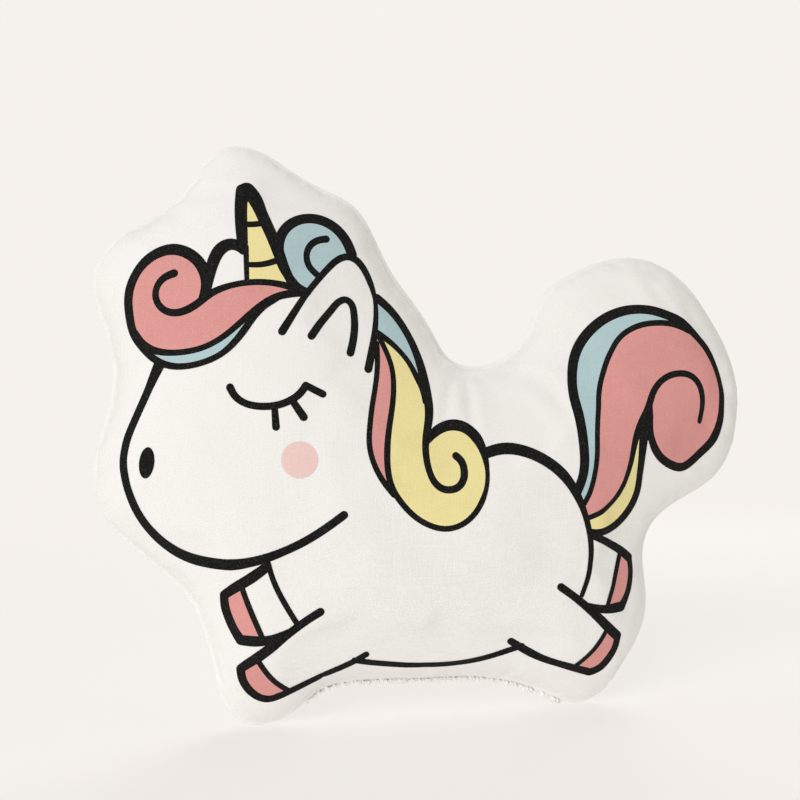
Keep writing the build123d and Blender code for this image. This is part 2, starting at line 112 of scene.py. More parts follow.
FILL_CLEAR = 0.3  # the cloth goes no deeper than this under the CAD panel, to cover the filling
WEAVE_PITCH = 0.0016  # metres for two threads
WEAVE_DEPTH = 0.00012

# ---------------- floor, light and camera, metres and degrees
FLOOR_RADIUS = 1.6
FLOOR_COLOUR = (0.5, 0.49, 0.48)
FLOOR_GLOW = (0.45, 0.43, 0.42)
ROOM_COLOUR = (1.0, 0.97, 0.915)
ROOM_STRENGTH = 0.54
BACKDROP_COLOUR = (0.92, 0.88, 0.85)
WINDOW_POWER = 27.0
CEILING_POWER = 3.0
BACK_POWER = 24.0
CAMERA_ANGLES = (-7.0, -1.5, 2.0)
CAMERA_AIM = (-0.0166, 0.0, 0.0172)
CAMERA_DISTANCE = 0.612

# Outline of the cushion along its seam, clockwise from the top, in the plane of the seam.
OUTLINE = [
    (-110, 347), (-95, 343), (-80, 333), (-60, 321), (-41, 310), (-29, 290), (-18, 267), (-5, 248),
    (6, 229), (16, 214), (29, 210), (47, 214), (60, 225), (68, 240), (74, 252), (84, 261), (100, 269),
    (119, 275), (138, 275), (155, 269), (169, 258), (181, 241), (191, 223), (198, 203), (200, 186),
    (198, 168), (192, 149), (182, 136), (166, 126), (148, 116), (137, 104), (133, 90), (134, 66),
    (131, 46), (122, 29), (109, 12), (100, 4), (86, 0), (67, 7), (47, 15), (22, 20), (-10, 21),
    (-50, 22), (-71, 18), (-88, 6), (-101, 1), (-111, 0), (-121, 4), (-129, 15), (-134, 37),
    (-139, 57), (-146, 75), (-164, 95), (-182, 112), (-195, 127), (-200, 142), (-200, 156),
    (-195, 177), (-189, 198), (-188, 224), (-194, 246), (-197, 262), (-194, 278), (-184, 292),
    (-167, 302), (-147, 315), (-133, 334), (-123, 344),
]

# Ink lines: points that the middle of the line goes through, some with the width of the line there
LINES = {
    "forelock_outer": [(-132, 250, 4), (-129.6, 258), (-130.5, 267, 6.6), (-137, 275.8),
        (-148, 280.2, 6.8), (-160, 276.8), (-169, 267.5, 5.2), (-173.6, 256), (-173.8, 243, 5.4),
        (-171.3, 232), (-166.5, 224.5, 4.6), (-160, 217.8), (-151, 213.3), (-141, 212.6, 3.6),
        (-131, 214.6), (-121.5, 218.8, 3.5), (-115, 224.2), (-109, 231.2, 4.2), (-103.5, 238.5),
        (-97.5, 244.6), (-90, 249.3, 3.4)],
    "forelock_parting": [(-171.5, 233, 5.5), (-167, 227.2), (-159, 222.2), (-150, 220.5, 3.6),
        (-140, 220.9), (-130, 223.3, 3.4), (-120, 228.6), (-110, 236.6, 3.6), (-100.5, 244.4),
        (-91, 249.9, 4.4), (-81, 252.2), (-73, 252.8, 4.8)],
    "forelock_spiral": [(-147.3, 266, 4.9), (-152.8, 263.8), (-157, 259, 3.9), (-158, 253),
        (-155.7, 247.4, 4), (-151, 243.9), (-145.5, 243.2), (-139.5, 244.9, 4.7), (-133.5, 248.4),
        (-128, 252.4, 4.5), (-122, 255.4), (-115, 257.5, 3.6), (-107, 258.8, 3.6), (-99, 259.1),
        (-91, 258.3, 3.8), (-84, 256.7), (-77, 254.3, 4.6)],
    "far_ear": [(-129.3, 256, 6), (-127.3, 264), (-124.4, 273, 7), (-120.4, 279.3, 7.4), (-115, 281.7),
        (-111, 280.6, 6.4), (-108.2, 277.4, 4.2)],
    "horn_left": [(-107.6, 315.6, 7.6), (-108.6, 305), (-108.6, 292, 7), (-108.2, 282, 6.2)],
    "horn_left_foot": [(-106.3, 280, 3.2), (-106.3, 259, 2.8)],
    "horn_right": [(-105.4, 315.4, 9.6), (-102, 311.5), (-97.3, 301, 7), (-92.3, 288.5, 6.8),
        (-88, 276.5, 6.8), (-84.6, 266.5, 5.8), (-80.5, 257.5, 5)],
    "horn_band_high": [(-107, 293.6, 3.6), (-101, 293.6), (-95, 294.6, 3.7)],
    "horn_band_low": [(-105.4, 269.4, 3.2), (-100, 269.3), (-94, 270.2), (-87, 272.6, 4)],
    "blue_curl": [(-45, 277, 6.2), (-47.9, 285), (-53.2, 292.2, 6.3), (-60.6, 296.9), (-69, 298.3, 6.2),
        (-77.7, 296), (-84, 290.6, 6), (-87.3, 283.5), (-87.6, 275.5, 6), (-85.4, 267.3, 5.5),
        (-81.3, 260.2), (-77, 255.4), (-72.5, 253, 4.6)],
    "blue_curl_inner": [(-60, 285.8, 4.6), (-65.2, 284.6), (-69.8, 281, 4), (-71.9, 275, 3.7),
        (-70.6, 268.8), (-66, 263.4, 4)],
    "near_ear": [(-87.4, 230.4, 4.7), (-80, 241.6, 4.1), (-73, 251.8, 3.6), (-66, 260.6, 3.7),
        (-59, 268.5), (-52.8, 273.7, 4.2), (-47.4, 275.3), (-42.4, 273.4, 4.5), (-38.5, 268.6),
        (-34.8, 259.8, 3.8), (-32.6, 250, 2.6), (-32.6, 240), (-33.9, 230, 3.6), (-36.2, 219, 4.6),
        (-39, 208, 4.7)],
    "ear_fold": [(-71, 227.5, 4.6), (-65, 235.7), (-58.5, 243.3, 4.2), (-53.4, 248.2), (-50.3, 249, 4),
        (-47.2, 246.8), (-45.8, 241.5), (-45.7, 234, 4.3), (-46.9, 225.5), (-49, 217.6, 4.6)],
    "mane_outer": [(-31.3, 250.4, 5.4), (-24.7, 244.6), (-18.7, 237, 4.7), (-13.6, 228, 4.6),
        (-9.7, 218, 4.8), (-7.2, 208), (-5.8, 198, 5.8), (-4.8, 189), (-4.8, 181, 5), (-6.5, 172),
        (-8, 164, 4.2), (-8.2, 156), (-6.8, 148, 3.8), (-3.6, 141.4), (1, 138, 4.2), (5.4, 137.5),
        (10, 139.3), (13, 143.5, 4.4), (13.6, 148.6), (12.4, 153.2), (9.4, 156.5, 4.5)],
    "mane_blue_parting": [(-33, 229.6, 4), (-27, 225.3), (-20, 218.7, 3.2), (-14.5, 211.3, 3.2),
        (-10.6, 203, 3.6), (-7.8, 195), (-6.9, 188, 2.4)],
    "mane_curl_outer": [(-32.2, 228.5, 3.2), (-28.6, 220), (-25.2, 209, 3.1), (-24.7, 198),
        (-26.2, 186, 3.4), (-28.8, 174), (-30.5, 162, 3.8), (-30.7, 150), (-28.4, 139.6, 3.6),
        (-23.2, 131), (-16.3, 123.4, 3.4), (-8, 118), (0.5, 115.6), (9.3, 117, 3.3), (16.9, 122.1),
        (22.6, 129.8, 3.4), (26, 138.5, 2.6), (27.1, 148, 2.6), (26, 157.6, 4.4), (22.6, 166, 6.2),
        (17, 171.8), (10, 174.2, 6.6), (3, 173.2), (-2.5, 170, 5.6), (-6.4, 165.5, 3.2)],
    "mane_pink_outer": [(-33.2, 223, 3.2), (-33.4, 212), (-34.9, 200.5, 3.1), (-37.8, 187.2),
        (-40, 174.8, 3.2), (-40.6, 164.6), (-39.2, 156.4, 3.2), (-36.2, 148.6), (-31.6, 141),
        (-27.6, 136, 3.4)],
    "head": [(-156.8, 214, 6.6), (-163.4, 201, 4.8), (-168.7, 190), (-173.5, 180, 4.6), (-177.5, 170),
        (-179.2, 160, 4.6), (-178.4, 150), (-175.8, 140, 4.7), (-171.4, 129.6, 4.9), (-165.2, 120),
        (-158, 112.5, 5.6), (-149.5, 106.6), (-140, 102.7, 6.3), (-130, 100.7), (-120, 100.2, 6.5),
        (-110, 101.3, 5.6), (-100, 103.6), (-90, 107, 4.7), (-80, 111.4), (-68, 118.3, 4.7),
        (-56.4, 126.2, 4.7)],
    "eyelid": [(-117.3, 199.7, 4.4), (-115.4, 195.7), (-111, 191.5, 4), (-105, 189.1), (-98, 188.3, 4.1),
        (-91, 188.9), (-84, 191.3, 4.2), (-78.6, 195), (-75.2, 199.3, 4.4)],
    "lash_high": [(-75.2, 199.4, 4), (-65.8, 194.2, 4.2)],
    "lash_middle": [(-83, 191, 4), (-77, 181.6, 4.6)],
    "lash_low": [(-93, 188.5, 3.6), (-92.5, 176.6, 4.3)],
    "back": [(28, 157.6, 6.4), (34, 159.1), (41, 159.5, 6.8), (52, 156.9), (63, 151.2, 6.5),
        (72.6, 142.8, 6.2), (79.5, 132.5, 5.2), (84.2, 121, 3.8), (87.3, 109.5), (88.5, 99, 3.4),
        (88.1, 90, 3.2), (86.3, 80.5), (83, 71.5, 3)],
    "tail_outer": [(80.5, 133, 5.6), (84.3, 141.5), (85.9, 150, 5.8), (86.1, 160), (85.5, 170),
        (84.2, 180, 5.6), (83.1, 190), (83.9, 202, 5.8), (87.3, 214), (93.8, 224.4, 5.9), (102.5, 232.4),
        (113, 238, 6), (124, 240.6), (135, 240.2, 5.8), (146, 237), (156, 231.8, 6.2), (165, 223.4, 5),
        (172, 214.4), (177, 204.5, 3.8), (180.2, 193.5), (180.9, 182, 4.4), (179.2, 170.5),
        (174.8, 160.4, 5.8), (167, 153), (159.4, 147), (152.6, 143.8, 5.4), (145.5, 145.2), (137.7, 149.8),
        (131.8, 156.8, 4.8), (128.8, 166), (129, 175, 4.4), (129.8, 182.5, 2.6)],
    "tail_spiral": [(164, 171.6, 3.8), (165.8, 180), (165.3, 188.6, 3.8), (162.3, 195.6), (157, 199.6, 4),
        (150, 200.6), (143, 199.2), (136.5, 195.2, 4), (131.8, 189), (128.3, 181, 4.6), (123.6, 172.5, 5),
        (119.4, 163), (117, 153.5, 3.6), (114.9, 145), (111.3, 136.4, 3.2), (106, 128.8),
        (99.6, 122.9, 3.2), (93, 119.3), (86.4, 117.2, 3.2)],
    "tail_parting": [(160, 226.4, 3.4), (149, 231, 3.8), (138, 231.9), (129.5, 230.9, 3.6), (121.5, 228),
        (114.5, 223.2), (108.8, 216, 3.2), (104, 207), (100.3, 197, 3.2), (97.7, 186.5),
        (95.8, 175.5, 3.2), (94.7, 164.5), (94, 154), (92.6, 145.5, 3.2), (90.3, 137), (87, 129.8),
        (83, 124, 3.2)],
    "tail_yellow_outer": [(125.2, 168, 6.2), (123.9, 158, 5.6), (123.3, 149), (122.5, 140, 4.6),
        (121.3, 131.5), (118.4, 124.3, 4.8), (113.6, 117.8, 4.8), (107.4, 112.6), (100, 109.3, 4.6),
        (93, 108.2), (87.5, 109, 4)],
    "tail_wedge": [(127.4, 176, 5.6), (124.4, 163.5, 5.8)],
    "far_hind_top": [(88, 107.2, 4), (95, 104.2, 4.4), (103, 99.9), (110, 95.7, 5), (116.3, 90.6, 5.4)],
    "far_hind_toe": [(116.6, 90.4, 4), (117.8, 83.5, 3.8), (117.1, 75), (114.7, 67.6, 4.4),
        (110.8, 61.6, 5.6)],
    "far_hind_sole": [(110.4, 61.5, 6.2), (104, 61.4, 5.8), (98, 61.7), (92, 63, 4.6), (86, 65.4, 3)],
    "far_hind_hoof": [(109.6, 94, 3.2), (107, 84), (103.5, 73), (99.6, 62.5, 3.2)],
    "near_hind_top": [(69.6, 77.5, 4.7), (77.5, 71.5, 4.6), (86, 64.3, 5), (94, 56.8), (101, 49.8, 6),
        (107.3, 43.9, 6)],
    "near_hind_toe": [(107.6, 43.6, 5), (106, 36, 4.8), (102.3, 29, 5.2), (97.2, 24), (91.5, 22, 5)],
    "near_hind_sole": [(40.6, 46, 4.4), (46, 42.2), (52, 38.3, 5), (60.5, 33.6, 4.4), (70.5, 29.6, 4.2),
        (80.5, 25.9, 4.8), (91, 22, 5)],
    "near_hind_hoof": [(100.5, 50, 3), (95.4, 42), (89.3, 34.4), (81.5, 27.3, 3)],
    "belly": [(-51.5, 39.6, 3.8), (-45, 38), (-35, 36.2, 3.7), (-20, 34.1), (-5, 33.2, 3.4),
        (8, 33.3, 3.4), (20, 34.8), (31, 37.4, 3.6), (40, 40.2), (47.5, 42.4, 3.8)],
    "far_fore_top": [(-100, 98.6, 5.6), (-108, 93, 6.2), (-116, 88, 6.2), (-124.2, 82.4, 5.4)],
    "far_fore_toe": [(-124.9, 82, 5), (-124.6, 75, 5.2), (-122.7, 68), (-119.8, 61, 5.4),
        (-116.7, 55.6, 6)],
    "far_fore_sole": [(-116.4, 55.3, 6.4), (-108, 55, 6.4), (-100.5, 55.6), (-94, 57.8, 4.6), (-88, 61, 3)],
    "far_fore_hoof": [(-114.8, 88, 3.3), (-111.4, 77), (-107.8, 67), (-104, 57, 3.3)],
    "far_fore_back": [(-99.6, 102, 3), (-97, 91.5), (-93, 81.6, 3.3), (-88.2, 72.2), (-83.6, 64, 3.3)],
    "near_fore_top": [(-71, 71.5, 4.8), (-77.5, 67.6, 4.6), (-84, 63), (-91, 57.6, 4.8), (-98.5, 51.6, 6),
        (-106, 46, 6.2), (-112, 41.7), (-117, 37.8, 5.2)],
    "near_fore_toe": [(-117.2, 37.4, 5.2), (-116.4, 31), (-113.6, 25.2, 5.2), (-108.8, 20.4, 4.8),
        (-102.4, 18.1), (-97, 19.1, 4.2), (-90, 22, 4.2)],
    "near_fore_sole": [(-97, 19.3, 4.2), (-90, 22), (-76.5, 28, 3.8), (-64, 33.4, 3.8), (-52, 38.8),
        (-44.8, 43, 3.8)],
    "near_fore_hoof": [(-107, 43.3, 3.3), (-102, 34.8), (-97, 28.6), (-90.5, 23, 3.3)],
}

# Nostril: centre, half width and half height, lean to the right in degrees. Cheek: centre and radius.
NOSTRIL = ((-165.4, 159), (4.4, 8.9), 9)
CHEEK = ((-80, 157.8), 10.2)

# Colour areas: loops along the ink lines, each step a line and the first and last of its points.
AREAS = {
    "pink": [
        [("forelock_outer", 0, 9), ("forelock_parting", 0, 11), ("forelock_spiral", 16, 9)],
        [("mane_pink_outer", 0, 9), ("mane_curl_outer", 8, 0)],
        [("tail_parting", 16, 0), ("tail_outer", 15, 30), ("tail_spiral", 10, 18)],
        [("far_fore_hoof", 0, 3), ("far_fore_sole", 1, 0), ("far_fore_toe", 4, 0), ("far_fore_top", 3, 2)],
        [("near_fore_hoof", 0, 3), ("near_fore_toe", 6, 0), ("near_fore_top", 7, 5)],
        [("far_hind_hoof", 0, 3), ("far_hind_sole", 2, 0), ("far_hind_toe", 4, 0), ("far_hind_top", 4, 3)],
        [("near_hind_hoof", 0, 3), ("near_hind_sole", 5, 6), ("near_hind_toe", 4, 0),
         ("near_hind_top", 5, 4)],
    ],
    "blue": [
        [("forelock_parting", 1, 8), ("forelock_outer", 18, 10)],
        [("blue_curl", 0, 12), ("near_ear", 2, 6)],
        [("mane_outer", 0, 5), ("mane_blue_parting", 4, 0), ("near_ear", 12, 10)],
        [("tail_outer", 0, 14), ("tail_parting", 0, 16)],
    ],
    "yellow": [
        [("horn_left", 3, 0), ("horn_right", 0, 6), ("forelock_spiral", 15, 12), ("horn_left_foot", 1, 0)],
        [("mane_curl_outer", 0, 23), ("mane_outer", 9, 8), ("mane_blue_parting", 6, 0)],
        [("tail_spiral", 11, 18), ("tail_yellow_outer", 10, 0)],
    ],
}


# ---------------- curves
def spline(points, closed=False):
    """Cubic curve through points: a function of the length along the chords, and the knots."""
    route = np.array([point[:2] for point in points], float)
    if closed:
        route = np.vstack([route, route[:1]])
    gaps = np.linalg.norm(np.diff(route, axis=0), axis=1)
    knots = np.concatenate([[0.0], np.cumsum(gaps)])
    count = len(route)
    matrix = np.zeros((count, count))
    right = np.zeros((count, 2))
    slopes = np.diff(route, axis=0) / gaps[:, None]
    for i in range(1, count - 1):
        matrix[i, i - 1 : i + 2] = gaps[i - 1], 2 * (gaps[i - 1] + gaps[i]), gaps[i]
        right[i] = 6 * (slopes[i] - slopes[i - 1])
    if closed:
        matrix[0, 0] = 1
        matrix[0, -1] = -1
        matrix[-1, 0] = 2 * gaps[0]
        matrix[-1, 1] = gaps[0]
        matrix[-1, -2] = gaps[-1]
        matrix[-1, -1] = 2 * gaps[-1]
        right[-1] = 6 * (slopes[0] - slopes[-1])
    else:
        matrix[0, 0] = 1
        matrix[-1, -1] = 1
    bends = np.linalg.solve(matrix, right)

    def curve(places):
        places = np.asarray(places, float)
        span = np.clip(np.searchsorted(knots, places, side="right") - 1, 0, count - 2)
        gap = gaps[span][:, None]
        ahead = (knots[span + 1] - places)[:, None]
        behind = (places - knots[span])[:, None]
        bend = (bends[span] * ahead**3 + bends[span + 1] * behind**3) / (6 * gap)
        start = (route[span] / gap - bends[span] * gap / 6) * ahead
        end = (route[span + 1] / gap - bends[span + 1] * gap / 6) * behind
        return bend + start + end

    return curve, knots


def walk(points, step, closed=False):
    """Points about every step along the smooth curve through the given ones."""
    curve, knots = spline(points, closed)
    count = max(2, int(round(knots[-1] / step)))
    places = np.linspace(0, knots[-1], count + 1)
    return curve(places[:-1] if closed else places)


def directions(route, closed=False):
    """Unit direction at each point of a route."""
    if closed:
        along = np.roll(route, -1, axis=0) - np.roll(route, 1, axis=0)
    else:
        along = np.gradient(route, axis=0)
    return along / np.linalg.norm(along, axis=1)[:, None]


def inside(edge, points):
    """Which points lie inside a closed edge."""
    result = np.zeros(len(points), bool)
    for (x0, z0), (x1, z1) in zip(edge, np.roll(edge, -1, axis=0)):
        if z0 == z1:
            continue
        crosses = (z0 > points[:, 1]) != (z1 > points[:, 1])
        result ^= crosses & (points[:, 0] < (x1 - x0) * (points[:, 1] - z0) / (z1 - z0) + x0)
    return result


def distance_to(route, points, closed=False):
    """Distance of each point from a route, and how far along it, from 0 to 1."""
    ends = np.roll(route, -1, axis=0) if closed else route[1:]
    starts = route if closed else route[:-1]
    best = np.full(len(points), 1e9)
    share = np.zeros(len(points))
    for index, (start, end) in enumerate(zip(starts, ends)):
        run = end - start
        part = np.clip((points - start) @ run / max(run @ run, 1e-12), 0, 1)
        gap = np.linalg.norm(points - start - part[:, None] * run, axis=1)
        nearer = gap < best
        best = np.where(nearer, gap, best)
        share = np.where(nearer, (index + part) / len(starts), share)
    return best, share


def ink_edge(points):
    """Closed edge of one ink line, with its two round ends."""
    curve, knots = spline(points)
    places = np.linspace(0, knots[-1], max(3, int(knots[-1] / PRINT_STEP) + 2))
    stated = [index for index, point in enumerate(points) if len(point) == 3]
    half = np.interp(places, knots[stated], [points[index][2] for index in stated]) / 2
    middle = curve(places)
    along = directions(middle)
    across = np.stack([-along[:, 1], along[:, 0]], axis=1)

    def round_end(index, sign):
        turns = np.linspace(0, np.pi, 8)[1:-1, None]
        spread = np.cos(turns) * across[index] + np.sin(turns) * along[index]
        return middle[index] + sign * half[index] * spread

    left = middle + across * half[:, None]
    right = middle - across * half[:, None]
    return np.vstack([left, round_end(-1, 1), right[::-1], round_end(0, -1)])


def colour_edge(steps):
    """Closed edge of a colour, along the middles of the ink lines round it."""
    parts = []
    for name, first, last in steps:
        curve, knots = spline(LINES[name])
        count = max(2, int(abs(knots[last] - knots[first]) / PRINT_STEP) + 1)
        parts.append(curve(np.linspace(knots[first], knots[last], count)))
    return np.vstack(parts)


def ellipse(centre, radii, tilt=0.0):
    """Points of an ellipse whose long way leans to the right by tilt degrees."""
    turns = np.linspace(0, 2 * np.pi, 48, endpoint=False)
    lean = math.radians(tilt)
    right = radii[0] * np.cos(turns)
    up = radii[1] * np.sin(turns)
    across = centre[0] + right * math.cos(lean) + up * math.sin(lean)
    return np.stack([across, centre[1] - right * math.sin(lean) + up * math.cos(lean)], axis=1)


def hexagonal(low, high, step):
    """Points of an even triangular grid over a rectangle."""
    rows = np.arange(low[1], high[1], step * math.sqrt(3) / 2)
    columns = np.arange(low[0], high[0], step)
    shift = np.where(np.arange(len(rows)) % 2 == 0, 0, step / 2)
    across = columns[None, :] + shift[:, None]
    up = np.repeat(rows[:, None], len(columns), axis=1)
    return np.stack([across.ravel(), up.ravel()], axis=1)


# ---------------- the swell of the panels
def swell(edge):
    """Height of a panel at any points: a membrane held at the edge and pushed out evenly."""
    low = edge.min(axis=0) - 2 * GRID
    size = ((edge.max(axis=0) + 2 * GRID - low) / GRID).astype(int) + 1
    across, up = np.meshgrid(low[0] + GRID * np.arange(size[0]), low[1] + GRID * np.arange(size[1]))
    points = np.stack([across.ravel(), up.ravel()], axis=1)
    free = inside(edge, points).reshape(across.shape)
    lift = np.zeros(across.shape)
    for _ in range(SWELL_ROUNDS):
        around = lift[:-2, 1:-1] + lift[2:, 1:-1] + lift[1:-1, :-2] + lift[1:-1, 2:]
        lift[1:-1, 1:-1] = np.where(free[1:-1, 1:-1], (around + GRID * GRID) / 4, 0)
    height = np.sqrt(lift + SOFTNESS**2) - SOFTNESS
    height *= CROWN / height.max()

    def at(points):
        place = (points - low) / GRID
        cell = np.clip(place.astype(int), 0, size - 2)
        part = place - cell
        row = cell[:, 1]
        column = cell[:, 0]
        lower = height[row, column] * (1 - part[:, 0]) + height[row, column + 1] * part[:, 0]
        upper = height[row + 1, column] * (1 - part[:, 0]) + height[row + 1, column + 1] * part[:, 0]
        return lower * (1 - part[:, 1]) + upper * part[:, 1]

    return at


def pattern():
    """Flat mesh of a panel: points, triangles and how many points, the first ones, lie on the seam.

    Then each point's height, distance from the seam and share of the way round.
    """
    seam = walk(OUTLINE, SEAM_STEP, closed=True)
    along = directions(seam, closed=True)
    inward = np.stack([along[:, 1], -along[:, 0]], axis=1)
    rings = [seam + distance * inward for distance in LIP]
    fill = hexagonal(seam.min(axis=0), seam.max(axis=0), CLOTH_STEP)
    fill = fill[inside(seam, fill)]
    gap, _ = distance_to(seam, fill, closed=True)
    fill = fill[gap > LIP[-1] + CLOTH_STEP * 0.6]
    points = np.vstack(rings + [fill])
    count = len(seam)
    starts = [ring * count for ring in range(len(LIP))]
    edges = [(start + i, start + (i + 1) % count) for start in starts for i in range(count)]
    flat, _, faces, *_ = delaunay_2d_cdt([Vector(p) for p in points], edges, [], 0, 1e-6)
    flat = np.array([tuple(p) for p in flat])
    faces = np.array([face for face in faces if len(face) == 3])
    middles = flat[faces].mean(axis=1)
    faces = faces[inside(seam, middles)]
    gap, share = distance_to(seam, flat, closed=True)
    height = swell(rings[-1])(flat) + np.interp(gap, LIP, LIP_HALF)
    height[:count] = 0
    return flat, faces, count, height, gap, share


# ---------------- meshes
def new_object(name, points, faces, smooth=True):
    """Mesh object from points in millimetres."""
    mesh = bpy.data.meshes.new(name)
    corners = [tuple(map(int, face)) for face in faces]
    mesh.from_pydata([tuple(p) for p in np.asarray(points, float) * MM], [], corners)
    mesh.validate()
    if smooth:
        mesh.polygons.foreach_set("use_smooth", [True] * len(mesh.polygons))
    piece = bpy.data.objects.new(name, mesh)
    link(piece)
    return piece


def points_of(piece):
    """Points of an object's mesh, in millimetres."""
    place = np.empty(len(piece.data.vertices) * 3)
    piece.data.vertices.foreach_get("co", place)
    return place.reshape(-1, 3) / MM


def set_points(piece, points):
    """Give an object's mesh these points, in millimetres."""
    piece.data.vertices.foreach_set("co", (np.asarray(points) * MM).ravel())
    piece.data.update()


def apply_modifiers(piece):
    """Make the result of the modifiers the mesh itself."""
    shown = piece.evaluated_get(bpy.context.evaluated_depsgraph_get())
    mesh = bpy.data.meshes.new_from_object(shown)
    piece.modifiers.clear()
    old = piece.data
    piece.data = mesh
    bpy.data.meshes.remove(old)


def settle(piece, held):
    """Fill the sewn bag: the cloth settles under pressure, with the seam held in place."""
    group = piece.vertex_groups.new(name="seam")
    group.add([int(i) for i in held], 1.0, "REPLACE")
    cloth = piece.modifiers.new("Cloth", "CLOTH")
    settings = cloth.settings
    settings.quality = 6
    settings.mass = 0.3
    settings.tension_stiffness = 25
    settings.compression_stiffness = 18
    settings.shear_stiffness = 8
    settings.bending_stiffness = 0.6
    settings.tension_damping = 12
    settings.compression_damping = 12
    settings.bending_damping = 1.5
    settings.air_damping = 4
    settings.vertex_group_mass = "seam"
    settings.use_pressure = True
    settings.uniform_pressure_force = PRESSURE
    settings.shrink_min = -SPARE_CLOTH
    settings.effector_weights.gravity = 0
    cloth.point_cache.frame_start = 1
    cloth.point_cache.frame_end = SIM_FRAMES
    before = points_of(piece)
    scene = bpy.context.scene
    for number in range(1, SIM_FRAMES + 1):
        scene.frame_set(number)
    apply_modifiers(piece)
    scene.frame_set(1)
    after = points_of(piece)
    move = after - before
    length = np.linalg.norm(move, axis=1)
    keep = np.minimum(1, MOST_MOVE / np.maximum(length, 1e-9))
    set_points(piece, before + move * keep[:, None])
    piece.vertex_groups.clear()


def fold(points, route, depth, width):
    """Rise of a pulled fold at each point: a groove between two soft ridges, faded at the ends."""
    gap, share = distance_to(walk(route, 3.0), points[:, [0, 2]])
    fade = np.sin(np.pi * np.clip(share * 0.9 + 0.05, 0, 1)) ** 0.7
    groove = np.exp(-((gap / width) ** 2))
    ridges = np.exp(-(((gap - 2 * width) / (1.3 * width)) ** 2))
    return depth * fade * (0.75 * ridges - groove)


def puckers(share, length, seed):
    """Uneven ripple along the seam, about -1 to 1, at each share of its length."""
    random = np.random.default_rng(seed)
    total = np.zeros(len(share))
    for _ in range(PUCKER_WAVES):
        waves = round(length / random.uniform(9, 26))
        total += np.sin(2 * np.pi * waves * share + random.uniform(0, 2 * np.pi))
    return total / math.sqrt(PUCKER_WAVES / 2) / 1.6


def lumps(points, size, seed):
    """Even smooth noise, about -1 to 1, made of a few dozen waves."""
    random = np.random.default_rng(seed)
    total = np.zeros(len(points))
    for _ in range(LUMP_WAVES):
        way = random.normal(size=3)
        way /= np.linalg.norm(way) * size * random.uniform(0.75, 1.6)
        total += np.sin(2 * np.pi * points @ way + random.uniform(0, 2 * np.pi))
    return total / math.sqrt(LUMP_WAVES / 2) / 1.6


# ---------------- materials
def material(name, colour, roughness, sheen=0.0, specular=0.3):
    """New material, its node tree and its shader, with values set on the shader's own sockets."""
    made = bpy.data.materials.new(name)
    made.use_nodes = True
    shader = made.node_tree.nodes["Principled BSDF"]
    shader.inputs["Base Color"].default_value = (*colour, 1)
    shader.inputs["Roughness"].default_value = roughness
    shader.inputs["Specular IOR Level"].default_value = specular
    shader.inputs["Sheen Weight"].default_value = sheen
    shader.inputs["Sheen Roughness"].default_value = 0.5
    return made, made.node_tree, shader


def display(red, green, blue):
    """Linear colour of a display colour from 0 to 255."""
    shares = [value / 255 for value in (red, green, blue)]
    return tuple(s / 12.92 if s <= 0.04045 else ((s + 0.055) / 1.055) ** 2.4 for s in shares)


def math_node(tree, operation, first, second=None):
    """Maths node between sockets or numbers: its output socket."""
    node = tree.nodes.new("ShaderNodeMath")
    node.operation = operation
    for index, value in enumerate((first, second)):
        if value is None:
            continue
        if isinstance(value, (int, float)):
            node.inputs[index].default_value = value
        else:
            tree.links.new(value, node.inputs[index])
    return node.outputs[0]


def noise(tree, vector, scale, detail=2.0):
    """Noise texture at a scale per metre: its value socket."""
    node = tree.nodes.new("ShaderNodeTexNoise")
    node.inputs["Scale"].default_value = scale
    node.inputs["Detail"].default_value = detail
    tree.links.new(vector, node.inputs["Vector"])
    return node.outputs["Fac"]


def stretched(tree, vector, stretch):
    """Coordinates stretched along the axes: the vector socket."""
    node = tree.nodes.new("ShaderNodeVectorMath")
    node.operation = "MULTIPLY"
    node.inputs[1].default_value = stretch
    tree.links.new(vector, node.inputs[0])
    return node.outputs[0]


def weave(tree):
    """Plain weave over X and Z: the place, the height of the threads and their slubs."""
    place = tree.nodes.new("ShaderNodeTexCoord").outputs["Object"]
    split = tree.nodes.new("ShaderNodeSeparateXYZ")
    tree.links.new(place, split.inputs[0])
    turn = 2 * math.pi / WEAVE_PITCH
    warp = math_node(tree, "COSINE", math_node(tree, "MULTIPLY", split.outputs["X"], turn))
    weft = math_node(tree, "COSINE", math_node(tree, "MULTIPLY", split.outputs["Z"], turn))
    crossings = math_node(tree, "MULTIPLY", warp, weft)
    upright = noise(tree, stretched(tree, place, (1, 1, 0.08)), 900)
    level = noise(tree, stretched(tree, place, (0.08, 1, 1)), 900)
    slubs = math_node(tree, "ADD", upright, level)
    height = math_node(tree, "ADD", math_node(tree, "MULTIPLY", crossings, 0.35), slubs)
    return place, height, slubs


def bumped(tree, shader, height, distance):
    """Bump from a height socket, in metres."""
    bump = tree.nodes.new("ShaderNodeBump")
    bump.inputs["Strength"].default_value = 1.0
    bump.inputs["Distance"].default_value = distance
    tree.links.new(height, bump.inputs["Height"])
    tree.links.new(bump.outputs[0], shader.inputs["Normal"])


def tinted(tree, shader, factor, low, high, dark, light):
    """Base colour that runs from dark to light as a factor runs from low to high."""
    ramp = tree.nodes.new("ShaderNodeValToRGB")
    ramp.color_ramp.elements[0].position = low
    ramp.color_ramp.elements[1].position = high
    ramp.color_ramp.elements[0].color = (*dark, 1)
    ramp.color_ramp.elements[1].color = (*light, 1)
    tree.links.new(factor, ramp.inputs[0])
    tree.links.new(ramp.outputs[0], shader.inputs["Base Color"])


def scaled(colour, share):
    """Colour made darker or lighter."""
    return tuple(min(1.0, value * share) for value in colour)


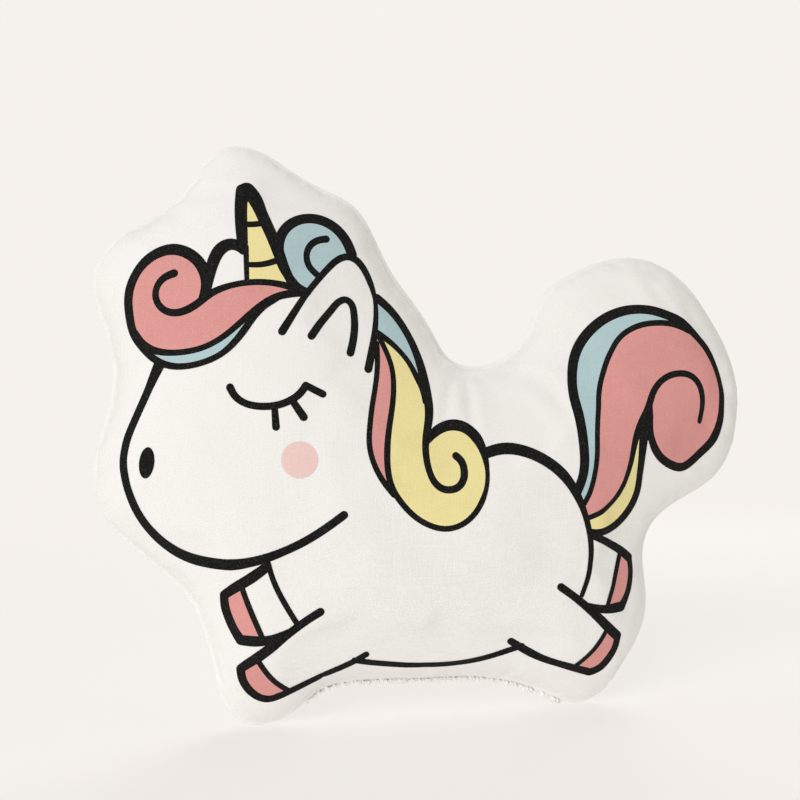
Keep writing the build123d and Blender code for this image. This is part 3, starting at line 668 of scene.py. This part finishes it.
def cotton(name, colour):
    """White printed cotton: plain weave, slubs and a little unevenness."""
    made, tree, shader = material(name, colour, 0.85, sheen=0.12)
    place, height, slubs = weave(tree)
    cloudy = math_node(tree, "MULTIPLY", noise(tree, place, 14, 3), 0.8)
    shade = math_node(tree, "ADD", cloudy, math_node(tree, "MULTIPLY", slubs, 0.6))
    tinted(tree, shader, shade, 0.7, 1.3, scaled(colour, 0.965), scaled(colour, 1.02))
    bumped(tree, shader, height, WEAVE_DEPTH)
    return made


def ink(name, colour, clouds, specks):
    """Printed ink on the weave: uneven patches, and fine specks where the threads' tops are bare."""
    made, tree, shader = material(name, colour, 0.85, sheen=0.02, specular=0.12)
    place, height, slubs = weave(tree)
    shade = math_node(tree, "ADD", noise(tree, place, 30, 3), math_node(tree, "MULTIPLY", height, 0.5))
    tinted(tree, shader, shade, 0.75, 1.35, scaled(colour, 1 - clouds), scaled(colour, 1 + clouds))
    base = shader.inputs["Base Color"].links[0].from_socket
    bare = tree.nodes.new("ShaderNodeMix")
    bare.data_type = "RGBA"
    bare.inputs["B"].default_value = (*COTTON_COLOUR, 1)
    tops = noise(tree, place, 1500, 1)
    fine = math_node(tree, "MULTIPLY", math_node(tree, "GREATER_THAN", tops, 0.62), specks)
    tree.links.new(fine, bare.inputs["Factor"])
    tree.links.new(base, bare.inputs["A"])
    tree.links.new(bare.outputs["Result"], shader.inputs["Base Color"])
    bumped(tree, shader, height, WEAVE_DEPTH)
    return made


def fleece(name, colour, grain):
    """Short soft pile or its ground cloth."""
    made, tree, shader = material(name, colour, 0.95, sheen=0.5, specular=0.1)
    place = tree.nodes.new("ShaderNodeTexCoord").outputs["Object"]
    patches = noise(tree, place, grain, 3)
    tinted(tree, shader, patches, 0.3, 0.7, scaled(colour, 0.97), scaled(colour, 1.03))
    bumped(tree, shader, noise(tree, place, 1100, 3), 0.0004)
    return made


def twisted(name, colour):
    """Sewing thread or loose fibre: fine slanting strands."""
    made, tree, shader = material(name, colour, 0.6, sheen=0.2)
    place = tree.nodes.new("ShaderNodeTexCoord").outputs["Object"]
    strands = noise(tree, stretched(tree, place, (1, 1, 3)), 1500, 2)
    tinted(tree, shader, strands, 0.3, 0.7, scaled(colour, 0.9), colour)
    bumped(tree, shader, strands, 0.0002)
    return made


COTTON_COLOUR = display(241, 240, 238)
FLEECE_COLOUR = display(250, 249, 246)
THREAD_COLOUR = display(240, 237, 229)
FIBRE_COLOUR = display(245, 245, 243)
INKS = {  # colour, how uneven, how many bare specks
    "black": (display(16, 16, 15), 0.25, 0.03),
    "pink": (display(218, 151, 147), 0.05, 0.12),
    "blue": (display(176, 201, 206), 0.04, 0.12),
    "yellow": (display(236, 224, 160), 0.04, 0.12),
    "blush": (display(238, 205, 199), 0.03, 0.12),
}


# ---------------- the cushion
def cad_height(points):
    """How far the CAD panel stands out from the seam's plane at each point's place, or 0 beside it."""
    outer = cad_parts["front_panel"].data
    tree = BVHTree.FromPolygons([v.co for v in outer.vertices], [p.vertices for p in outer.polygons])
    height = np.zeros(len(points))
    for index, (x, _, z) in enumerate(points * MM):
        hit = tree.ray_cast(Vector((x, -0.2, z)), Vector((0, 1, 0)))[0]
        height[index] = -hit.y / MM if hit else 0
    return height


def eased(rise, covering, faces):
    """Heights smoothed where the cloth lies on the filling, so that it shows no kink there."""
    sides = np.vstack([faces[:, [0, 1]], faces[:, [1, 2]], faces[:, [2, 0]]])
    pairs = np.unique(np.sort(sides, axis=1), axis=0)
    ends = np.hstack([pairs[:, 0], pairs[:, 1]])
    others = np.hstack([pairs[:, 1], pairs[:, 0]])
    count = np.bincount(ends, minlength=len(rise))
    near = (covering > rise - 0.5) & (covering > 0)
    share = near.astype(float)
    for _ in range(3):
        share = np.maximum(share, 0.7 * np.bincount(ends, share[others], len(rise)) / count)
    for _ in range(EASING):
        average = np.bincount(ends, rise[others], len(rise)) / count
        rise = rise + 0.6 * share * (average - rise)
        rise = np.maximum(rise, covering)
    return rise


def turn_forward(points, faces):
    """Turn round the triangles that face backwards."""
    first, second, third = (points[faces[:, i]] for i in range(3))
    backwards = np.cross(second - first, third - first)[:, 1] > 0
    faces[backwards] = faces[backwards][:, ::-1]


def make_cushion():
    """The two sewn panels, filled: the front panel and the back panel."""
    flat, faces, ring, height, gap, share = pattern()
    count = len(flat)
    own = np.arange(count)
    behind = np.where(own < ring, own, own + count - ring)
    front = np.stack([flat[:, 0], -height, flat[:, 1]], axis=1)
    back = np.stack([flat[ring:, 0], height[ring:], flat[ring:, 1]], axis=1)
    turn_forward(front, faces)
    whole = new_object("cushion", np.vstack([front, back]), np.vstack([faces, behind[faces][:, ::-1]]))
    settle(whole, range(ring))
    place = points_of(whole)
    bpy.data.objects.remove(whole)

    def side(name, places, sign, faces):
        """One panel from its settled points, finished."""
        spot = place[places].copy()
        rise = sign * spot[:, 1]
        soft = np.clip((gap - LUMP_START) / LUMP_FADE, 0, 1)
        small = SMALL_SHARE * DENT * lumps(spot, SMALL_LUMP, 5 + sign)
        rise = rise + soft * (DENT * lumps(spot, LUMP, 3 + sign) + small)
        ripple = PUCKER * puckers(share, SEAM_LENGTH, 11 + sign)
        rise = rise + ripple * np.exp(-(((gap - PUCKER_PLACE) / PUCKER_REACH) ** 2))
        rise = np.minimum(rise, np.interp(gap, EDGE_REACH, EDGE_MOST))
        rise[ring:] = np.maximum(rise[ring:], np.interp(gap, LIP, LIP_HALF)[ring:] * 0.8)
        covering = np.where(gap > FILL_REACH, cad_height(spot) - FILL_CLEAR, 0)
        rise = eased(np.maximum(rise, covering), covering, faces)
        if sign < 0:
            rise = rise + sum(fold(spot, *route) for route in FOLDS) * np.clip(gap / FOLD_FADE, 0, 1)
        spot[:, 1] = sign * rise
        panel = new_object(name, spot, faces)
        finer = panel.modifiers.new("Subdivision", "SUBSURF")
        finer.levels = 1
        finer.render_levels = 1
        finer.boundary_smooth = "PRESERVE_CORNERS"
        apply_modifiers(panel)
        panel.data.polygons.foreach_set("use_smooth", [True] * len(panel.data.polygons))
        return panel

    front_panel = side("front_panel_cloth", own, -1, faces)
    back_panel = side("back_panel_fleece", behind, 1, faces[:, ::-1])
    return front_panel, back_panel


def surface_tree(piece):
    """Ray-casting tree of a piece, with the smooth normal of each of its points."""
    mesh = piece.data
    tree = BVHTree.FromPolygons([v.co for v in mesh.vertices], [p.vertices for p in mesh.polygons])
    normals = np.empty(len(mesh.vertices) * 3)
    mesh.vertex_normals.foreach_get("vector", normals)
    return tree, normals.reshape(-1, 3)


def lay_print(name, edges, keep_face, tree, normals, cloth):
    """One colour of the print, laid on the front panel."""
    low = np.min([edge.min(axis=0) for edge in edges], axis=0)
    high = np.max([edge.max(axis=0) for edge in edges], axis=0)
    fill = hexagonal(low, high, PRINT_FILL)
    near = np.zeros(len(fill), bool)
    for edge in edges:
        near |= inside(edge, fill)
    points = list(edges) + [fill[near]]
    links = []
    start = 0
    for edge in edges:
        links += [(start + i, start + (i + 1) % len(edge)) for i in range(len(edge))]
        start += len(edge)
    flat, _, faces, *_ = delaunay_2d_cdt([Vector(p) for p in np.vstack(points)], links, [], 0, 1e-5)
    flat = np.array([tuple(p) for p in flat])
    faces = np.array([face for face in faces if len(face) == 3])
    faces = faces[keep_face(flat[faces].mean(axis=1))]
    used, faces = np.unique(faces, return_inverse=True)
    faces = faces.reshape(-1, 3)
    flat = flat[used]
    places = []
    shading = []
    for x, z in flat:
        spot, normal, index, _ = tree.ray_cast(Vector((x * MM, -0.2, z * MM)), Vector((0, 1, 0)))
        places.append(spot + normal * INK_LIFT * MM)
        corners = list(cloth.data.polygons[index].vertices)
        shading.append(normals[corners].mean(axis=0))
    places = np.array(places) / MM
    turn_forward(places, faces)
    piece = new_object(name, places, faces)
    piece.data.normals_split_custom_set_from_vertices([tuple(n) for n in shading])
    return piece


def make_print(cloth):
    """The five inks of the print."""
    tree, normals = surface_tree(cloth)
    strokes = [ink_edge(points) for points in LINES.values()] + [ellipse(*NOSTRIL)]

    def inside_any(edges, points):
        result = np.zeros(len(points), bool)
        for edge in edges:
            low = edge.min(axis=0)
            high = edge.max(axis=0)
            near = ((points >= low) & (points <= high)).all(axis=1)
            result[near] |= inside(edge, points[near])
        return result

    made = {}
    made["black"] = lay_print(
        "print_black_ink", strokes, lambda p: inside_any(strokes, p), tree, normals, cloth
    )
    for colour, loops in AREAS.items():
        areas = [colour_edge(loop) for loop in loops]

        def wanted(points, areas=areas):
            return inside_any(areas, points) & ~inside_any(strokes, points)

        made[colour] = lay_print(f"print_{colour}_ink", areas + strokes, wanted, tree, normals, cloth)
    cheek = [ellipse(CHEEK[0], (CHEEK[1], CHEEK[1]))]
    made["blush"] = lay_print("print_blush_ink", cheek, lambda p: inside_any(cheek, p), tree, normals, cloth)
    return made


def make_pile(panel):
    """The short pile of the back panel: slanting tufts, longer and closer along the belly seam."""
    random = np.random.default_rng(PILE_SEED)
    mesh = panel.data
    mesh.calc_loop_triangles()
    corners = np.empty(len(mesh.loop_triangles) * 3, np.int32)
    mesh.loop_triangles.foreach_get("vertices", corners)
    corners = corners.reshape(-1, 3)
    places = points_of(panel)
    _, normals = surface_tree(panel)
    first, second, third = (places[corners[:, i]] for i in range(3))
    area = np.linalg.norm(np.cross(second - first, third - first), axis=1) / 2
    middle = (first + second + third) / 3
    edge_zone = middle[:, 1] < PILE_EDGE
    belly = edge_zone & (middle[:, 2] < BELLY_TOP) & (middle[:, 0] > BELLY[0]) & (middle[:, 0] < BELLY[1])
    bare = ~belly & (middle[:, 1] < PILE_START)
    weight = area * np.where(belly, BELLY_DENSITY, np.where(bare, 0.0, 1.0))
    chosen = random.choice(len(area), size=TUFTS, p=weight / weight.sum())
    mix = random.dirichlet((1, 1, 1), size=TUFTS)[:, :, None]
    root = (places[corners[chosen]] * mix).sum(axis=1)
    up = (normals[corners[chosen]] * mix).sum(axis=1)
    up /= np.linalg.norm(up, axis=1)[:, None]
    at_belly = belly[chosen]
    at_edge = edge_zone[chosen] & ~at_belly
    lean = np.where(at_edge[:, None], (0, 2.5, 0), (0, 0, -1.0)) + random.normal(scale=0.75, size=(TUFTS, 3))
    lean[at_belly] = (0, -0.5, -2.0) + random.normal(scale=0.7, size=(at_belly.sum(), 3))
    lean -= up * (lean * up).sum(axis=1)[:, None]
    lean /= np.linalg.norm(lean, axis=1)[:, None]
    side = np.cross(up, lean)
    length = random.uniform(*TUFT_LENGTH, size=(TUFTS, 1)) * np.where(at_belly, BELLY_LONGER, 1.0)[:, None]
    length *= np.where(at_edge, EDGE_SHORTER, 1.0)[:, None]
    girth = random.uniform(*TUFT_GIRTH, size=(TUFTS, 1)) * np.where(at_belly, BELLY_THICKER, 1.0)[:, None]
    curl = random.normal(scale=TUFT_CURL, size=(TUFTS, 1))
    knee = root + length * (0.42 * up + 0.32 * lean)
    tip = root + length * (0.45 * up + 0.95 * lean + curl * side)
    points = []
    for centre, share in ((root - 0.3 * up, 1.0), (knee, 0.8)):
        for turn in range(3):
            angle = 2 * math.pi * turn / 3
            points.append(centre + girth * share * (math.cos(angle) * lean + math.sin(angle) * side))
    points.append(tip)
    tufts = np.stack(points, axis=1)
    walls = np.array([(turn, (turn + 1) % 3, (turn + 1) % 3 + 3, turn + 3) for turn in range(3)])
    tips = np.array([(3 + turn, 3 + (turn + 1) % 3, 6) for turn in range(3)])
    starts = 7 * np.arange(TUFTS)[:, None, None]
    all_faces = (starts + walls).reshape(-1, 4).tolist() + (starts + tips).reshape(-1, 3).tolist()
    return new_object("back_panel_pile", tufts.reshape(-1, 3), all_faces, smooth=False)


def tube(route, radius, sides=6):
    """Points and faces of a thin round tube along a route."""
    route = np.asarray(route, float)
    along = directions(route)
    across = np.cross(along, (0.3, 0.2, 0.9))
    across /= np.linalg.norm(across, axis=1)[:, None]
    other = np.cross(along, across)
    turns = np.linspace(0, 2 * np.pi, sides, endpoint=False)[:, None]
    shrink = np.ones(len(route))
    shrink[[0, -1]] = 0.35
    rings = [
        centre + radius * share * (np.cos(turns) * a + np.sin(turns) * b)
        for centre, a, b, share in zip(route, across, other, shrink)
    ]
    faces = []
    for ring in range(len(route) - 1):
        for side in range(sides):
            after = (side + 1) % sides
            low = ring * sides
            faces.append((low + side, low + after, low + sides + after, low + sides + side))
    faces.append(tuple(range(sides))[::-1])
    faces.append(tuple((len(route) - 1) * sides + side for side in range(sides)))
    return np.vstack(rings), faces


def make_stitches():
    """Hand-sewn ladder stitches that close the belly edge: short slanting bars across the seam."""
    seam = walk(OUTLINE, 1.0, closed=True)
    belly = seam[(seam[:, 1] < BELLY_TOP) & (seam[:, 0] > OPENING[0] - 5) & (seam[:, 0] < OPENING[1] + 5)]
    belly = belly[np.argsort(belly[:, 0])]
    points = []
    faces = []
    for x in np.arange(OPENING[0] + STITCH_PITCH / 2, OPENING[1], STITCH_PITCH):
        z = np.interp(x, belly[:, 0], belly[:, 1])
        turns = np.linspace(-0.9, 0.9, 7)
        route = [(x + 0.5 * t, 1.7 * math.sin(t * 1.3), z + 1.5 - 1.9 * math.cos(t * 1.3)) for t in turns]
        more, sides = tube(route, STITCH_RADIUS)
        faces += [tuple(i + len(points) for i in face) for face in sides]
        points += [tuple(p) for p in more]
    return new_object("belly_ladder_stitches", points, faces)


def declare(piece, finish, node):
    """Give a piece its material and body, and hide the CAD node that it stands in for."""
    piece.data.materials.append(finish)
    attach(piece, "root")
    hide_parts(node)


front_cloth, back_cloth = make_cushion()
declare(front_cloth, cotton("cotton_white", COTTON_COLOUR), "front_panel")
ground = fleece("fleece_ground", scaled(FLEECE_COLOUR, 0.94), 200)
declare(back_cloth, ground, "back_panel")
declare(make_pile(back_cloth), fleece("fleece_pile", FLEECE_COLOUR, 90), "back_panel")
for colour, piece in make_print(front_cloth).items():
    declare(piece, ink(f"ink_{colour}", *INKS[colour]), f"print_{colour}")
thread = twisted("thread_white", THREAD_COLOUR)
declare(make_stitches(), thread, "closing_stitches")

# The CAD nodes inside the bag keep their shape and get a finish
fibre = twisted("polyester_fibre", FIBRE_COLOUR)
for name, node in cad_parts.items():
    if name == "seam_thread" or name.startswith("filling_"):
        node.data.materials.clear()
        node.data.materials.append(thread if name == "seam_thread" else fibre)


# ---------------- floor, light and camera
def make_floor():
    """Pale round floor that fades into the background."""
    bpy.ops.mesh.primitive_circle_add(vertices=96, radius=FLOOR_RADIUS, fill_type="NGON")
    floor = bpy.context.object
    floor.name = "floor"
    made, tree, shader = material("floor_pale", FLOOR_COLOUR, 0.9, specular=0.1)
    shader.inputs["Emission Color"].default_value = (*FLOOR_GLOW, 1)
    shader.inputs["Emission Strength"].default_value = 1
    place = tree.nodes.new("ShaderNodeTexCoord").outputs["Object"]
    length = tree.nodes.new("ShaderNodeVectorMath")
    length.operation = "LENGTH"
    tree.links.new(place, length.inputs[0])
    fade = tree.nodes.new("ShaderNodeMapRange")
    fade.interpolation_type = "SMOOTHSTEP"
    fade.inputs["From Min"].default_value = FLOOR_RADIUS * 0.2
    fade.inputs["From Max"].default_value = FLOOR_RADIUS
    fade.inputs["To Min"].default_value = 1
    fade.inputs["To Max"].default_value = 0
    tree.links.new(length.outputs["Value"], fade.inputs["Value"])
    tree.links.new(fade.outputs[0], shader.inputs["Alpha"])
    floor.data.materials.append(made)


def make_light(name, place, aim, size, power):
    """Square soft light, in watts, that faces its aim."""
    lamp = bpy.data.lights.new(name, "AREA")
    lamp.shape = "SQUARE"
    lamp.size = size
    lamp.energy = power
    holder = bpy.data.objects.new(name, lamp)
    holder.location = place
    holder.rotation_euler = (Vector(aim) - Vector(place)).to_track_quat("-Z", "Y").to_euler()
    link(holder)


def make_camera():
    """Camera at the photograph's viewing angle."""
    low, high = cad_box
    aim = (low + high) / 2 + Vector(CAMERA_AIM)
    azimuth, elevation, roll = (math.radians(angle) for angle in CAMERA_ANGLES)
    level = math.cos(elevation)
    back = Vector((math.sin(azimuth) * level, -math.cos(azimuth) * level, math.sin(elevation)))
    right = (-back).cross(Vector((0, 0, 1))).normalized()
    up = right.cross(-back)
    leaning_right = right * math.cos(roll) - up * math.sin(roll)
    leaning_up = up * math.cos(roll) + right * math.sin(roll)
    lens = bpy.data.cameras.new("camera")
    lens.sensor_width = 36
    lens.lens = 45
    camera = bpy.data.objects.new("camera", lens)
    turn = Matrix((leaning_right, leaning_up, back)).transposed().to_4x4()
    camera.matrix_world = Matrix.Translation(aim + back * CAMERA_DISTANCE) @ turn
    link(camera)
    bpy.context.scene.camera = camera


make_floor()
centre = (cad_box[0] + cad_box[1]) / 2
make_light("window", centre + Vector((-1.4, -1.8, 0.9)), centre, 1.6, WINDOW_POWER)
make_light("back", centre + Vector((1.0, 2.0, 1.1)), centre, 1.8, BACK_POWER)
make_light("ceiling", centre + Vector((0.2, 0.1, 2.0)), centre, 2.2, CEILING_POWER)
world = bpy.data.worlds.new("pale_room")
world.use_nodes = True
light_tree = world.node_tree
room = light_tree.nodes["Background"]
room.inputs["Color"].default_value = (*ROOM_COLOUR, 1)
room.inputs["Strength"].default_value = ROOM_STRENGTH
backdrop = light_tree.nodes.new("ShaderNodeBackground")
backdrop.inputs["Color"].default_value = (*BACKDROP_COLOUR, 1)
chosen = light_tree.nodes.new("ShaderNodeMixShader")
light_path = light_tree.nodes.new("ShaderNodeLightPath")
light_tree.links.new(light_path.outputs["Is Camera Ray"], chosen.inputs[0])
light_tree.links.new(room.outputs[0], chosen.inputs[1])
light_tree.links.new(backdrop.outputs[0], chosen.inputs[2])
light_tree.links.new(chosen.outputs[0], light_tree.nodes["World Output"].inputs["Surface"])
bpy.context.scene.world = world
bpy.context.scene.view_settings.view_transform = "Standard"
make_camera()
